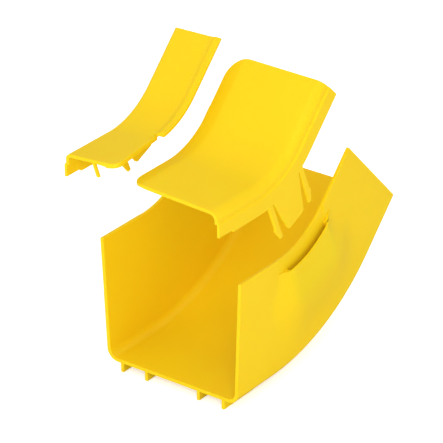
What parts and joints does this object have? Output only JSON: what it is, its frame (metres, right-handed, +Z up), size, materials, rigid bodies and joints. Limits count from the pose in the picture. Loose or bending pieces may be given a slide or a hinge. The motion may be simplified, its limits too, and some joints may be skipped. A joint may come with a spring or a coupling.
{
  "type": "fibre raceway inside vertical bend",
  "caption": "Inside vertical 45 degree bend for an optical fibre raceway: an open U-shaped channel with a split clip-on cover shown lifted off.",
  "frame": {"origin": "middle of the channel's level end, on the face of its floor's edge at the floor's underside", "axes": "+X across the channel to its right wall, +Y along the level end towards the bend, +Z up through the open top"},
  "size_m": [0.1332, 0.2398, 0.2404],
  "materials": {
    "channel_plastic": "satin",
    "cover_plastic": "satin"
  },
  "bodies": {
    "channel": {"channel": "channel_plastic"},
    "wide_cover": {"wide_cover": "cover_plastic"},
    "narrow_cover": {"narrow_cover": "cover_plastic"}
  },
  "joints": [
    {"name": "wide_cover_lift", "type": "slide", "parent": "channel", "child": "wide_cover", "axis": [0, 0.4305, -0.9026], "range_m": [0, 0.0645]},
    {"name": "narrow_cover_lift", "type": "slide", "parent": "channel", "child": "narrow_cover", "axis": [0, 0.4305, -0.9026], "range_m": [0, 0.0784]}
  ]
}
